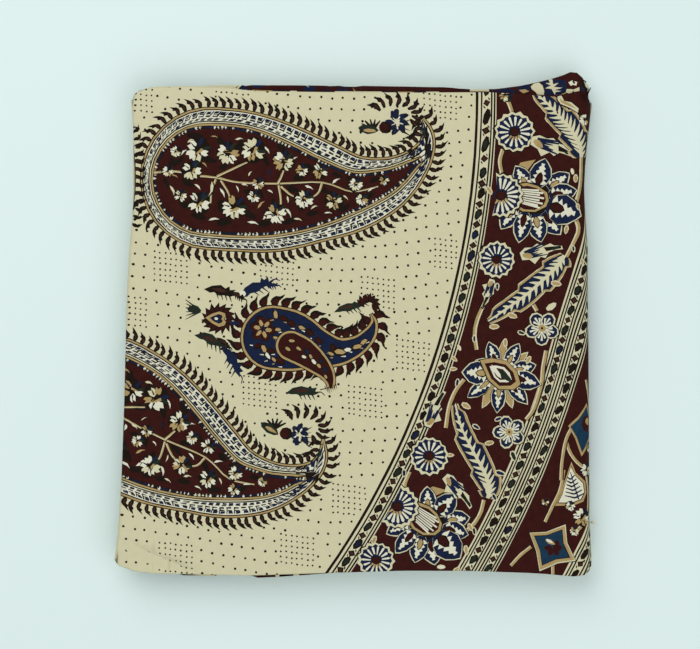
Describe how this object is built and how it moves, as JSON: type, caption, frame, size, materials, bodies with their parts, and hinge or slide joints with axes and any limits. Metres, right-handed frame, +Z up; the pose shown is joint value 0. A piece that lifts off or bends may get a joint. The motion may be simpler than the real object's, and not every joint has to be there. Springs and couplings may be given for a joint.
{
  "type": "folded kalamkari panel",
  "caption": "Block-printed cotton cloth folded into a soft, nearly square stack, with paisleys on a dotted cream field and a curved dark red flower border.",
  "frame": {"origin": "middle of the stack's footprint, on the surface it rests on", "axes": "+Z up through the layers, +X from the small folds at the left to the tall rounded turn at the right, +Y towards the back edge with the dog-ear"},
  "size_m": [0.2996, 0.3176, 0.0243],
  "materials": {
    "printed_cotton": "matt cotton weave with block print in brown-black, dark red, indigo and gold"
  },
  "bodies": {
    "root": {"folded_cloth": "printed_cotton"}
  },
  "joints": []
}
